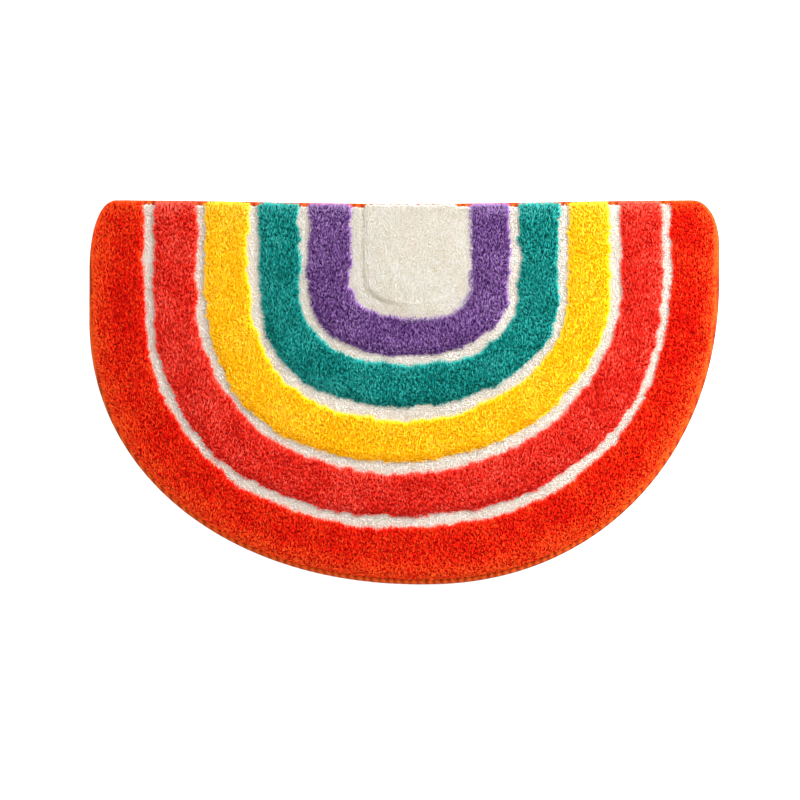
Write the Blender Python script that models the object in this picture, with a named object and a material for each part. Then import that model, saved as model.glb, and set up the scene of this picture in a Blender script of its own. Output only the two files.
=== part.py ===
"""Half-round tufted bath rug with carved colour bands and a serged edge, lying flat.

Metres, +Z up. The straight edge is at +Y and the round edge at -Y. The origin is at the
centre of the rug's box, on the surface that it lies on.
"""

import math
from collections import namedtuple

import bmesh
import bpy
from mathutils import Vector

# Overall size
WIDTH = 0.800
DEPTH = 0.495
TOP_Y = DEPTH / 2
EDGE_STRIP = 0.0055  # bare backing round the pile, which the serged edge covers
GAP = 0.0006  # clear space between the pile's foot and the serged edge

# Heights over the floor
FOOT_HEIGHT = 0.0038  # top face of the backing
CHANNEL_HEIGHT = 0.0130
PATCH_HEIGHT = 0.0155
BAND_HEIGHT = 0.0200
BACKING_THICKNESS = 0.0022
TONGUE_LENGTH = 0.0040  # how far the backing reaches into the serged edge

# The straight edge sags a little at its middle, and its two corners are rounded
TOP_SAG = 0.0045
CORNER_ACROSS = 0.028
CORNER_LEFT_DOWN = 0.082
CORNER_RIGHT_DOWN = 0.052

# Unevenness of the cut edges between bands, and of the pile's top
WANDER_LONG, WANDER_LONG_WAVE = 0.0010, 0.190
WANDER_SHORT, WANDER_SHORT_WAVE = 0.0007, 0.083
SHORT_PHASE_RATIO = 2.7
LUMP_HEIGHT = 0.0005
LUMP_WAVE, LUMP_SLANT = 0.052, 0.6
LUMP_CROSS_WAVE, LUMP_CROSS_SLANT = 0.071, 0.4

# Steps along each arch: close to the straight edge, down the leg, and round the half
EDGE_STEPS = (0.0, 0.0025, 0.0085, 0.024)
LEG_STEPS = 3
ROUND_STEPS = 21

# Each arch runs down from the straight edge on both sides and meets at its lowest point, which
# may lie off the middle line. Half-widths are from the middle line, depth and legs are measured
# down from the straight edge, the rounds are powers of a superellipse, and wander and phase say
# how its cut edge strays.
Arch = namedtuple(
    "Arch",
    "left right depth lowest_x left_leg right_leg left_round right_round wander phase",
)
ARCHES = {
    "rim": Arch(0.3936, 0.3936, 0.4915, 0.024, 0.152, 0.098, 2.12, 2.13, 0.0, 0.0),
    "scarlet_inner": Arch(0.3300, 0.3370, 0.4255, 0.0, 0.115, 0.105, 2.25, 2.15, 1.0, 0.6),
    "coral_outer": Arch(0.3185, 0.3265, 0.4115, 0.0, 0.120, 0.115, 2.30, 2.15, 1.0, 2.1),
    "coral_inner": Arch(0.2630, 0.2735, 0.3560, 0.0, 0.115, 0.110, 2.20, 2.00, 1.0, 3.3),
    "yellow_outer": Arch(0.2530, 0.2610, 0.3420, 0.0, 0.110, 0.120, 2.35, 1.95, 1.0, 4.9),
    "yellow_inner": Arch(0.1965, 0.2075, 0.2870, 0.0, 0.105, 0.115, 2.30, 2.05, 1.0, 5.8),
    "teal_outer": Arch(0.1845, 0.1965, 0.2710, 0.0, 0.105, 0.125, 2.40, 2.00, 1.0, 7.2),
    "teal_inner": Arch(0.1335, 0.1450, 0.2150, 0.0, 0.105, 0.105, 2.35, 2.50, 1.0, 8.7),
    "violet_outer": Arch(0.1225, 0.1330, 0.2055, 0.0, 0.105, 0.125, 2.25, 2.00, 1.0, 9.9),
    "violet_inner": Arch(0.0670, 0.0810, 0.1560, 0.0, 0.105, 0.105, 2.25, 2.65, 0.7, 11.3),
    "patch_edge": Arch(0.0510, 0.0660, 0.1380, 0.0, 0.100, 0.100, 2.40, 2.60, 0.5, 12.4),
    "middle": Arch(0.0, 0.0, 0.1100, 0.0, 0.080, 0.080, 2.00, 2.00, 0.0, 12.4),
}

# Each section of the pile lies between two arches and has its own height and colour
Section = namedtuple("Section", "outer inner height shape colour")
SECTIONS = (
    Section("rim", "scarlet_inner", BAND_HEIGHT, "rimmed", "scarlet"),
    Section("scarlet_inner", "coral_outer", CHANNEL_HEIGHT, "low", "cream"),
    Section("coral_outer", "coral_inner", BAND_HEIGHT, "crowned", "coral"),
    Section("coral_inner", "yellow_outer", CHANNEL_HEIGHT, "low", "cream"),
    Section("yellow_outer", "yellow_inner", BAND_HEIGHT, "crowned", "yellow"),
    Section("yellow_inner", "teal_outer", CHANNEL_HEIGHT, "low", "cream"),
    Section("teal_outer", "teal_inner", BAND_HEIGHT, "crowned", "teal"),
    Section("teal_inner", "violet_outer", CHANNEL_HEIGHT, "low", "cream"),
    Section("violet_outer", "violet_inner", BAND_HEIGHT, "crowned", "violet"),
    Section("violet_inner", "patch_edge", CHANNEL_HEIGHT, "low", "cream"),
    Section("patch_edge", "middle", PATCH_HEIGHT, "patch", "cream"),
)

# Lines across each shape of section: share of the way from its outer arch, and of its rise.
# The rimmed shape has more lines at the rim, which the rug's round corners cross.
Line = namedtuple("Line", "across rise")
SHAPES = {
    "rimmed": (Line(0.0, 0.0), Line(0.018, 0.40), Line(0.05, 0.66), Line(0.10, 0.84),
               Line(0.17, 0.94), Line(0.26, 0.98), Line(0.40, 1.0), Line(0.60, 1.0),
               Line(0.85, 0.93), Line(0.955, 0.62)),
    "crowned": (Line(0.0, 0.0), Line(0.045, 0.62), Line(0.15, 0.93), Line(0.5, 1.0),
                Line(0.85, 0.93), Line(0.955, 0.62)),
    "low": (Line(0.0, 0.0),),
    "patch": (Line(0.0, 0.0), Line(0.08, 0.75), Line(0.3, 1.0), Line(0.65, 1.0)),
}
EDGE_RISE = (0.0, 0.62, 0.93, 1.0)  # the pile's rise at each of EDGE_STEPS

# Section of the serged edge: distance out from the pile's foot, and height
Corner = namedtuple("Corner", "out up")
SERGING = (
    Corner(GAP, 0.0041), Corner(GAP, 0.0049), Corner(0.0014, 0.0054), Corner(0.0038, 0.0054),
    Corner(0.0050, 0.0046), Corner(EDGE_STRIP, 0.0032), Corner(EDGE_STRIP, 0.0022),
    Corner(0.0050, 0.0007), Corner(0.0038, 0.0), Corner(GAP, 0.0),
    Corner(GAP, 0.0013), Corner(0.0043, 0.0013), Corner(0.0043, 0.0041),
)

COLOURS = {
    "scarlet": (0.76, 0.030, 0.006, 1.0),
    "coral": (0.74, 0.055, 0.040, 1.0),
    "yellow": (0.93, 0.50, 0.010, 1.0),
    "teal": (0.010, 0.27, 0.20, 1.0),
    "violet": (0.16, 0.060, 0.26, 1.0),
    "cream": (0.84, 0.78, 0.68, 1.0),
}
SERGING_COLOUR = (0.72, 0.10, 0.010, 1.0)
PILE_ROUGHNESS = 0.95
YARN_ROUGHNESS = 0.75
SHARP_TURN = math.radians(40)  # turns over this are shaded as edges


def straight_edge(x):
    """Height in the plan of the pile's straight edge at x, with its sag and rounded corners."""
    rim = ARCHES["rim"]
    reach = rim.left if x < 0 else rim.right
    down = CORNER_LEFT_DOWN if x < 0 else CORNER_RIGHT_DOWN
    sag = TOP_SAG * 0.5 * (1 + math.cos(math.pi * min(abs(x) / reach, 1.0)))
    into_corner = max(abs(x) - (reach - CORNER_ACROSS), 0.0) / CORNER_ACROSS
    drop = down * (1 - math.sqrt(max(1 - into_corner**2, 0.0)))
    return TOP_Y - EDGE_STRIP - sag - drop


def half_arch(arch, side):
    """Points of one half of an arch, from the straight edge to the bottom. side is -1 or 1."""
    reach, leg, roundness = (
        (arch.left, arch.left_leg, arch.left_round)
        if side < 0
        else (arch.right, arch.right_leg, arch.right_round)
    )
    start = straight_edge(side * reach)
    leg_end = TOP_Y - leg
    leg_start = start - EDGE_STEPS[-1]
    points = [Vector((side * reach, start - step)) for step in EDGE_STEPS]
    for i in range(1, LEG_STEPS):
        points.append(Vector((side * reach, leg_start + (leg_end - leg_start) * i / LEG_STEPS)))
    for i in range(ROUND_STEPS + 1):
        angle = 0.5 * math.pi * i / ROUND_STEPS
        across = (side * reach - arch.lowest_x) * max(math.cos(angle), 0.0) ** (2 / roundness)
        down = (arch.depth - leg) * math.sin(angle) ** (2 / roundness)
        points.append(Vector((arch.lowest_x + across, leg_end - down)))
    return points


def wandering(points, wander, phase):
    """The same points, moved in and out by up to a millimetre or two, but for both ends."""
    moved = points[:2]
    travelled = (points[1] - points[0]).length
    for before, here, after in zip(points[1:-2], points[2:-1], points[3:]):
        travelled += (here - before).length
        along = (after - before).normalized()
        long_wave = math.sin(2 * math.pi * travelled / WANDER_LONG_WAVE + phase)
        short_phase = SHORT_PHASE_RATIO * phase
        short_wave = math.sin(2 * math.pi * travelled / WANDER_SHORT_WAVE + short_phase)
        shift = wander * (WANDER_LONG * long_wave + WANDER_SHORT * short_wave)
        moved.append(here + shift * Vector((along.y, -along.x)))
    return [*moved, points[-1]]


def between(outer, inner, share):
    """The arch that lies a share of the way from an outer arch to an inner one."""
    return Arch(*(a + (b - a) * share for a, b in zip(outer, inner)))


def arch_points(arch):
    """All points of an arch, from its left top to its right top."""
    left = half_arch(arch, -1)
    right = half_arch(arch, 1)
    points = left + right[-2::-1]
    if arch.wander == 0:
        return points
    return wandering(points, arch.wander, arch.phase)


def edge_rises(count):
    """The pile's rise along an arch: low at both ends, at the straight edge, and full between."""
    full = [1.0] * (count - 2 * len(EDGE_RISE))
    return [*EDGE_RISE, *full, *EDGE_RISE[::-1]]


def lump(point):
    """Gentle unevenness of a tufted pile's top, in metres."""
    one = math.sin(2 * math.pi * (point.x + LUMP_SLANT * point.y) / LUMP_WAVE)
    other = math.sin(2 * math.pi * (point.y - LUMP_CROSS_SLANT * point.x) / LUMP_CROSS_WAVE)
    return LUMP_HEIGHT * (one + other) / 2


def raised(places, top, lumpiness):
    """Points in the plan, raised to the pile's top, which falls off at the straight edge."""
    points = []
    for place, rise in zip(places, edge_rises(len(places))):
        over_backing = top - FOOT_HEIGHT + lump(place) * lumpiness
        points.append(Vector((place.x, place.y, FOOT_HEIGHT + over_backing * rise)))
    return points


def pile_lines():
    """Every line of the pile's top as (points, section index), from the rim to the middle."""
    lines = []
    for index, section in enumerate(SECTIONS):
        outer = ARCHES[section.outer]
        inner = ARCHES[section.inner]
        foot = FOOT_HEIGHT if section.outer == "rim" else CHANNEL_HEIGHT
        for line in SHAPES[section.shape]:
            places = arch_points(between(outer, inner, line.across))
            top = foot + (section.height - foot) * line.rise
            lines.append((raised(places, top, line.rise), index))
    spine = arch_points(ARCHES["middle"])
    lines.append((raised(spine, PATCH_HEIGHT, 1.0), len(SECTIONS) - 1))
    return lines


def pile_foot_loop(lines):
    """The pile's foot as one closed loop in the plan, anticlockwise seen from above."""
    rim = [p.to_2d() for p in lines[0][0]]
    right_top = [points[-1].to_2d() for points, _ in lines[1:]]
    left_top = [points[0].to_2d() for points, _ in lines[-2:0:-1]]
    return rim + right_top + left_top


def moved_out(loop, distance):
    """A closed anticlockwise loop moved outwards by a distance, with mitred turns."""
    moved = []
    for before, here, after in zip(loop[-1:] + loop[:-1], loop, loop[1:] + loop[:1]):
        into = (here - before).normalized()
        away = (after - here).normalized()
        normal = Vector((into.y + away.y, -into.x - away.x)).normalized()
        turn = normal.dot(Vector((into.y, -into.x)))
        moved.append(here + normal * distance / turn)
    return moved


def ring(bm, loop, out, up):
    """A ring of vertices at one distance out from the pile's foot and one height."""
    return [bm.verts.new((p.x, p.y, up)) for p in moved_out(loop, out)]


def join_rings(bm, first, second):
    """Quads between two rings with as many vertices."""
    count = len(first)
    faces = []
    for i in range(count):
        j = (i + 1) % count
        faces.append(bm.faces.new((first[i], first[j], second[j], second[i])))
    return faces


def colour_material(name, colour, roughness):
    """A plain cloth material."""
    material = bpy.data.materials.new(name)
    material.use_nodes = True
    shader = material.node_tree.nodes["Principled BSDF"]
    shader.inputs["Base Color"].default_value = colour
    shader.inputs["Roughness"].default_value = roughness
    shader.inputs["Metallic"].default_value = 0.0
    material.diffuse_color = colour
    return material


def add_object(name, bm, materials, collection):
    """Makes an object of a finished mesh, shaded smooth up to sharp turns."""
    bmesh.ops.recalc_face_normals(bm, faces=bm.faces)
    mesh = bpy.data.meshes.new(name)
    bm.to_mesh(mesh)
    bm.free()
    for material in materials:
        mesh.materials.append(material)
    mesh.shade_smooth()
    mesh.set_sharp_from_angle(angle=SHARP_TURN)
    piece = bpy.data.objects.new(name, mesh)
    collection.objects.link(piece)
    return piece


def add_pile_top(bm, lines, colour_index):
    """The pile's top: a flat grid bent onto the lines, with its halves joined at the middle."""
    across = len(lines)
    along = len(lines[0][0])
    made = bmesh.ops.create_grid(bm, x_segments=along - 1, y_segments=across - 1, size=0.5)
    places = {}
    for vertex in made["verts"]:
        i = round((vertex.co.x + 0.5) * (along - 1))
        j = round((vertex.co.y + 0.5) * (across - 1))
        places[vertex] = (i, j)
    for face in bm.faces:
        j = min(places[vertex][1] for vertex in face.verts)
        face.material_index = colour_index[SECTIONS[lines[j][1]].colour]
    for vertex, (i, j) in places.items():
        vertex.co = lines[j][0][i]
    bmesh.ops.remove_doubles(bm, verts=bm.verts, dist=0.0001)


def add_underside(bm, loop):
    """The backing's edge, which reaches into the serged edge, and the flat underside."""
    foot = {(round(v.co.x, 5), round(v.co.y, 5)): v for v in bm.verts if v.is_boundary}
    rings = [[foot[round(p.x, 5), round(p.y, 5)] for p in loop]]
    edge_bottom = FOOT_HEIGHT - BACKING_THICKNESS
    rings.append(ring(bm, loop, TONGUE_LENGTH, FOOT_HEIGHT))
    rings.append(ring(bm, loop, TONGUE_LENGTH, edge_bottom))
    rings.append(ring(bm, loop, 0.0, edge_bottom))
    rings.append(ring(bm, loop, 0.0, 0.0))
    for first, second in zip(rings, rings[1:]):
        join_rings(bm, first, second)
    bm.faces.new(rings[-1])


def build_tufted_body(lines, loop, collection):
    """The backing with all of its pile, as one solid."""
    colour_index = {colour: i for i, colour in enumerate(COLOURS)}
    bm = bmesh.new()
    add_pile_top(bm, lines, colour_index)
    add_underside(bm, loop)
    for face in bm.faces:
        if face.calc_center_median().z <= FOOT_HEIGHT:
            face.material_index = colour_index["cream"]
    materials = [colour_material(f"{c}_pile", rgb, PILE_ROUGHNESS) for c, rgb in COLOURS.items()]
    return add_object("tufted_body", bm, materials, collection)


def build_serged_edge(loop, collection):
    """The yarn wrapped round the backing's edge, as one closed tube with a slot for it."""
    bm = bmesh.new()
    rings = [ring(bm, loop, corner.out, corner.up) for corner in SERGING]
    for first, second in zip(rings, rings[1:] + rings[:1]):
        join_rings(bm, first, second)
    material = colour_material("serging_yarn", SERGING_COLOUR, YARN_ROUGHNESS)
    return add_object("serged_edge", bm, [material], collection)


def centre_in_plan(pieces):
    """Stretches the pieces to the stated width and depth, and centres them on the origin."""
    corners = [v.co for piece in pieces for v in piece.data.vertices]
    low = Vector((min(c.x for c in corners), min(c.y for c in corners)))
    high = Vector((max(c.x for c in corners), max(c.y for c in corners)))
    middle = (low + high) / 2
    stretch = Vector((WIDTH / (high.x - low.x), DEPTH / (high.y - low.y)))
    for piece in pieces:
        for vertex in piece.data.vertices:
            vertex.co.x = (vertex.co.x - middle.x) * stretch.x
            vertex.co.y = (vertex.co.y - middle.y) * stretch.y


def main():
    """Clears the scene and builds the rug."""
    for old in list(bpy.data.objects):
        bpy.data.objects.remove(old, do_unlink=True)
    collection = bpy.data.collections.new("half_round_rug")
    bpy.context.scene.collection.children.link(collection)
    lines = pile_lines()
    loop = pile_foot_loop(lines)
    body = build_tufted_body(lines, loop, collection)
    edge = build_serged_edge(loop, collection)
    centre_in_plan([body, edge])


main()
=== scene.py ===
"""Half-round tufted bath rug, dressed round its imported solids.

Cut pile in five colour bands with low cream channels between them, a serged yarn edge and a
woven backing, on a pale floor under soft light. Metres, +Z up, straight edge at +Y.
"""

import logging
import math
from dataclasses import dataclass, field, replace
from enum import Enum

import bmesh
import bpy
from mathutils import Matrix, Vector, noise


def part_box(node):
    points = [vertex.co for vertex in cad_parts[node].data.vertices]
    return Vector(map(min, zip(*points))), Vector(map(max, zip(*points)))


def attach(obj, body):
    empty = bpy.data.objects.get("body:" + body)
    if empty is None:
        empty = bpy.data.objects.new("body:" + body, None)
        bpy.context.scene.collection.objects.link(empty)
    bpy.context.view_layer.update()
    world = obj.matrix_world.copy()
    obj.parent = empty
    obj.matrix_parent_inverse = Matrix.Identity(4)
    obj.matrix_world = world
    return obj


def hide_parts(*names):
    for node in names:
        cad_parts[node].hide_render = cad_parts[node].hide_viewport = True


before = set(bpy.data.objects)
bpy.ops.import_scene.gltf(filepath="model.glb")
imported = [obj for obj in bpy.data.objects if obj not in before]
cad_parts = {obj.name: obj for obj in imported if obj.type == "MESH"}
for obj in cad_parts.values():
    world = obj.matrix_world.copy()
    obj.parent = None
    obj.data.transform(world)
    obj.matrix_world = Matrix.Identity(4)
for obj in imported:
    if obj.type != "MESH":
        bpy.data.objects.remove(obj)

LOG = logging.getLogger("rug")
BODY = "root"
MM = 0.001
WAVE_TURN = 20  # radians that a wave texture turns through in each unit, at a scale of 1
DIAGONAL_TURN = WAVE_TURN / math.sqrt(2)  # the same for a diagonal wave, seen from above
SHARP_FROM = math.radians(50)
TINY = 1e-7  # points that are nearer than this count as one


class Node(str, Enum):
    """The solids that this model dresses."""

    TUFTED_BODY = "tufted_body"
    SERGED_EDGE = "serged_edge"


class Slot(str, Enum):
    """The record's material slots."""

    PILE = "tufted_pile"
    SERGING = "serging_yarn"


class Side(Enum):
    """The two sides of a strip of pile."""

    OUTER = "outer"
    INNER = "inner"


def linear(hex_colour: str) -> tuple[float, float, float, float]:
    """Turns an sRGB hex colour into a linear one.

    Args:
        hex_colour: Six hex digits, with or without a leading hash.

    Returns:
        Red, green, blue and an alpha of 1.
    """
    digits = hex_colour.lstrip("#")
    shares = [int(digits[i : i + 2], 16) / 255 for i in (0, 2, 4)]
    curve = [s / 12.92 if s <= 0.04045 else ((s + 0.055) / 1.055) ** 2.4 for s in shares]
    return (*curve, 1.0)


def result(node: bpy.types.Node) -> bpy.types.NodeSocket:
    """A node's first output that is in use."""
    return next(socket for socket in node.outputs if socket.enabled)


def add_node(
    tree: bpy.types.NodeTree,
    kind: str,
    settings: dict[str, object] | None = None,
    inputs: dict[str | int, object] | None = None,
    stops: dict[float, str] | None = None,
) -> bpy.types.Node:
    """Adds a node, with its settings, socket values, links and colour stops.

    Args:
        tree: The tree that gets the node.
        kind: Blender's name for the node's type.
        settings: Properties of the node itself.
        inputs: For each input, a value, an output socket, or a node for its first output.
        stops: For a colour ramp, the hex colour at each place along it, in order.

    Returns:
        The new node.
    """
    node = tree.nodes.new(kind)
    for name, value in (settings or {}).items():
        setattr(node, name, value)
    usable = [socket for socket in node.inputs if socket.enabled]
    by_name = {socket.name: socket for socket in reversed(usable)}
    for key, value in (inputs or {}).items():
        socket = by_name[key] if isinstance(key, str) else node.inputs[key]
        source = result(value) if isinstance(value, bpy.types.Node) else value
        if isinstance(source, bpy.types.NodeSocket):
            tree.links.new(source, socket)
        else:
            socket.default_value = source
    if stops:
        elements = node.color_ramp.elements
        elements.remove(elements[-1])
        first, *others = stops
        elements[0].position = first
        elements[0].color = linear(stops[first])
        for place in others:
            elements.new(place).color = linear(stops[place])
    return node


def new_material(name: str, values: dict[str, object]) -> tuple[bpy.types.Material, bpy.types.Node]:
    """Makes a material.

    Args:
        name: The material's name.
        values: What is constant all over, by the names of the shader's sockets.

    Returns:
        The material and its shader.
    """
    material = bpy.data.materials.new(name)
    material.use_nodes = True
    shader = material.node_tree.nodes["Principled BSDF"]
    for socket, value in values.items():
        shader.inputs[socket].default_value = value
    return material, shader


@dataclass(frozen=True)
class Arch:
    """One cut line of the rug, from the straight edge down, round and up again.

    Half-widths are from the middle line, depth and legs are measured down from the straight
    edge, the lowest point may lie off the middle line, and the rounds are powers of a
    superellipse.
    """

    left: float
    right: float
    depth: float
    lowest_x: float
    left_leg: float
    right_leg: float
    left_round: float
    right_round: float
    wander: float
    phase: float

    def towards(self, other: "Arch", share: float) -> "Arch":
        """The arch that lies a share of the way to another."""
        mine = vars(self)
        theirs = vars(other)
        return Arch(**{name: mine[name] + (theirs[name] - mine[name]) * share for name in mine})


ARCHES = {
    "rim": Arch(0.3936, 0.3936, 0.4915, 0.024, 0.152, 0.098, 2.12, 2.13, 0.0, 0.0),
    "scarlet_inner": Arch(0.3300, 0.3370, 0.4255, 0.0, 0.115, 0.105, 2.25, 2.15, 1.0, 0.6),
    "coral_outer": Arch(0.3185, 0.3265, 0.4115, 0.0, 0.120, 0.115, 2.30, 2.15, 1.0, 2.1),
    "coral_inner": Arch(0.2630, 0.2735, 0.3560, 0.0, 0.115, 0.110, 2.20, 2.00, 1.0, 3.3),
    "yellow_outer": Arch(0.2530, 0.2610, 0.3420, 0.0, 0.110, 0.120, 2.35, 1.95, 1.0, 4.9),
    "yellow_inner": Arch(0.1965, 0.2075, 0.2870, 0.0, 0.105, 0.115, 2.30, 2.05, 1.0, 5.8),
    "teal_outer": Arch(0.1845, 0.1965, 0.2710, 0.0, 0.105, 0.125, 2.40, 2.00, 1.0, 7.2),
    "teal_inner": Arch(0.1335, 0.1450, 0.2150, 0.0, 0.105, 0.105, 2.35, 2.50, 1.0, 8.7),
    "violet_outer": Arch(0.1225, 0.1330, 0.2055, 0.0, 0.105, 0.125, 2.25, 2.00, 1.0, 9.9),
    "violet_inner": Arch(0.0670, 0.0810, 0.1560, 0.0, 0.105, 0.105, 2.25, 2.65, 0.7, 11.3),
    "patch_edge": Arch(0.0510, 0.0660, 0.1380, 0.0, 0.100, 0.100, 2.40, 2.60, 0.5, 12.4),
    "middle": Arch(0.0, 0.0, 0.1100, 0.0, 0.080, 0.080, 2.00, 2.00, 0.0, 12.4),
}


@dataclass
class RugPlan:
    """The rug seen from above: its arches, its straight edge and its outline."""

    top_y: float = 0.2475
    edge_strip: float = 0.0055
    top_sag: float = 0.0045
    corner_across: float = 0.028
    corner_left_down: float = 0.082
    corner_right_down: float = 0.052
    long_wander: float = 0.0010
    long_wave: float = 0.190
    short_wander: float = 0.0007
    short_wave: float = 0.083
    short_phase_ratio: float = 2.7
    edge_steps: tuple[float, ...] = (0.0, 0.0008, 0.002, 0.004, 0.007, 0.012, 0.022)
    leg_steps: int = 16
    round_steps: int = 90
    top_steps: int = 96
    stretch: Vector = field(default_factory=lambda: Vector((1.0, 1.0)))
    shift: Vector = field(default_factory=lambda: Vector((0.0, 0.0)))

    def fit_to_solids(self) -> None:
        """Sets the stretch and shift that lay this plan exactly on the serged edge's solid."""
        outline = self.moved_out(self.foot_loop(), self.edge_strip)
        solid_low, solid_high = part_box(Node.SERGED_EDGE.value)
        for axis in (0, 1):
            low = min(point[axis] for point in outline)
            high = max(point[axis] for point in outline)
            self.stretch[axis] = (solid_high[axis] - solid_low[axis]) / (high - low)
            self.shift[axis] = solid_low[axis] - low * self.stretch[axis]

    def placed(self, point: Vector) -> Vector:
        """A point of the plan in the rug's frame."""
        return Vector([point[i] * self.stretch[i] + self.shift[i] for i in (0, 1)])

    def straight_edge(self, x: float) -> float:
        """Where the pile's straight edge lies at x, with its sag and rounded corners."""
        rim = ARCHES["rim"]
        reach = rim.left if x < 0 else rim.right
        down = self.corner_left_down if x < 0 else self.corner_right_down
        sag = self.top_sag * 0.5 * (1 + math.cos(math.pi * min(abs(x) / reach, 1.0)))
        into_corner = max(abs(x) - (reach - self.corner_across), 0.0) / self.corner_across
        drop = down * (1 - math.sqrt(max(1 - into_corner**2, 0.0)))
        return self.top_y - self.edge_strip - sag - drop

    def half_arch(self, arch: Arch, side: int) -> list[Vector]:
        """Points of one half of an arch.

        Args:
            arch: The arch.
            side: -1 for its left half or 1 for its right half.

        Returns:
            Points in the plan, from the straight edge to the bottom.
        """
        left = (arch.left, arch.left_leg, arch.left_round)
        right = (arch.right, arch.right_leg, arch.right_round)
        reach, leg, roundness = left if side < 0 else right
        start = self.straight_edge(side * reach)
        leg_start = start - self.edge_steps[-1]
        leg_end = self.top_y - leg
        points = [Vector((side * reach, start - step)) for step in self.edge_steps]
        for i in range(1, self.leg_steps):
            y = leg_start + (leg_end - leg_start) * i / self.leg_steps
            points.append(Vector((side * reach, y)))
        for i in range(self.round_steps + 1):
            angle = 0.5 * math.pi * i / self.round_steps
            inwards = max(math.cos(angle), 0.0) ** (2 / roundness)
            across = (side * reach - arch.lowest_x) * inwards
            down = (arch.depth - leg) * math.sin(angle) ** (2 / roundness)
            points.append(Vector((arch.lowest_x + across, leg_end - down)))
        return points

    def wandering(self, points: list[Vector], wander: float, phase: float) -> list[Vector]:
        """The same points, moved in and out by up to a millimetre or two."""
        moved = points[:2]
        travelled = (points[1] - points[0]).length
        for before, here, after in zip(points[1:-2], points[2:-1], points[3:]):
            travelled += (here - before).length
            along = (after - before).normalized()
            long_wave = math.sin(math.tau * travelled / self.long_wave + phase)
            short_phase = self.short_phase_ratio * phase
            short_wave = math.sin(math.tau * travelled / self.short_wave + short_phase)
            shift = wander * (self.long_wander * long_wave + self.short_wander * short_wave)
            moved.append(here + shift * Vector((along.y, -along.x)))
        return [*moved, points[-1]]

    def arch_points(self, arch: Arch) -> list[Vector]:
        """All points of an arch, from its left top to its right top."""
        points = self.half_arch(arch, -1) + self.half_arch(arch, 1)[-2::-1]
        if arch.wander == 0:
            return points
        return self.wandering(points, arch.wander, arch.phase)

    def foot_loop(self) -> list[Vector]:
        """The foot of the pile as a closed loop, anticlockwise seen from above."""
        rim = ARCHES["rim"]
        top = []
        for i in range(1, self.top_steps):
            angle = math.pi * i / self.top_steps
            reach = rim.right if angle < math.pi / 2 else rim.left
            x = reach * math.cos(angle)
            top.append(Vector((x, self.straight_edge(x))))
        return self.arch_points(rim) + top

    def moved_out(self, loop: list[Vector], distance: float) -> list[Vector]:
        """A closed anticlockwise loop moved outwards by a distance."""
        moved = []
        for before, here, after in zip(loop[-1:] + loop[:-1], loop, loop[1:] + loop[:1]):
            into = (here - before).normalized()
            away = (after - here).normalized()
            normal = Vector((into.y + away.y, -into.x - away.x)).normalized()
            turn = normal.dot(Vector((into.y, -into.x)))
            moved.append(here + normal * distance / turn)
        return moved

    def from_straight_edge(self, count: int) -> list[float]:
        """How far each of an arch's points lies from the straight edge, up to the last step."""
        near = list(self.edge_steps)
        far = [self.edge_steps[-1]] * (count - 2 * len(near))
        return near + far + near[::-1]


@dataclass(frozen=True)
class CutPileYarn:
    """Matte acrylic yarn, tufted and cut: deep between the tufts, partly as painted shade, and
    lighter at their ends.

    The colour runs from the root to the tip, darker at the root partly as painted shade. Each tuft
    has its own shade, a random tone with painted highlight added along the rim and straight edge and
    painted shade at the crease, and the lightest ones turn towards the accent colour.
    """

    name: str
    root: str
    middle: str
    tip: str
    accent: str
    shade_share: float = 0.60
    root_at: float = 0.22
    middle_at: float = 0.45
    tip_at: float = 0.72
    accent_from: float = 0.42
    accent_share: float = 0.85
    roughness: float = 0.9
    specular: float = 0.1
    sheen: float = 0.05
    sheen_roughness: float = 0.5

    def make(self) -> bpy.types.Material:
        """Builds the yarn's material."""
        values = {
            "Roughness": self.roughness,
            "Specular IOR Level": self.specular,
            "Sheen Weight": self.sheen,
            "Sheen Roughness": self.sheen_roughness,
            "Sheen Tint": linear(self.tip),
        }
        material, shader = new_material(self.name, values)
        tree = material.node_tree
        tip, shade = (
            add_node(tree, "ShaderNodeAttribute", {"attribute_name": name}).outputs["Fac"]
            for name in ("tip", "shade")
        )
        both = {"Factor": self.shade_share, "A": tip, "B": shade}
        lightness = add_node(tree, "ShaderNodeMix", {"data_type": "FLOAT"}, both)
        stops = {self.root_at: self.root, self.middle_at: self.middle, self.tip_at: self.tip}
        ramp = add_node(tree, "ShaderNodeValToRGB", inputs={"Fac": lightness}, stops=stops)
        lightest = {"Value": shade, "From Min": self.accent_from, "To Max": self.accent_share}
        turned = add_node(tree, "ShaderNodeMapRange", inputs=lightest)
        colours = {"Factor": turned, "A": ramp, "B": linear(self.accent)}
        coloured = add_node(tree, "ShaderNodeMix", {"data_type": "RGBA"}, colours)
        tree.links.new(result(coloured), shader.inputs["Base Color"])
        return material


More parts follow.
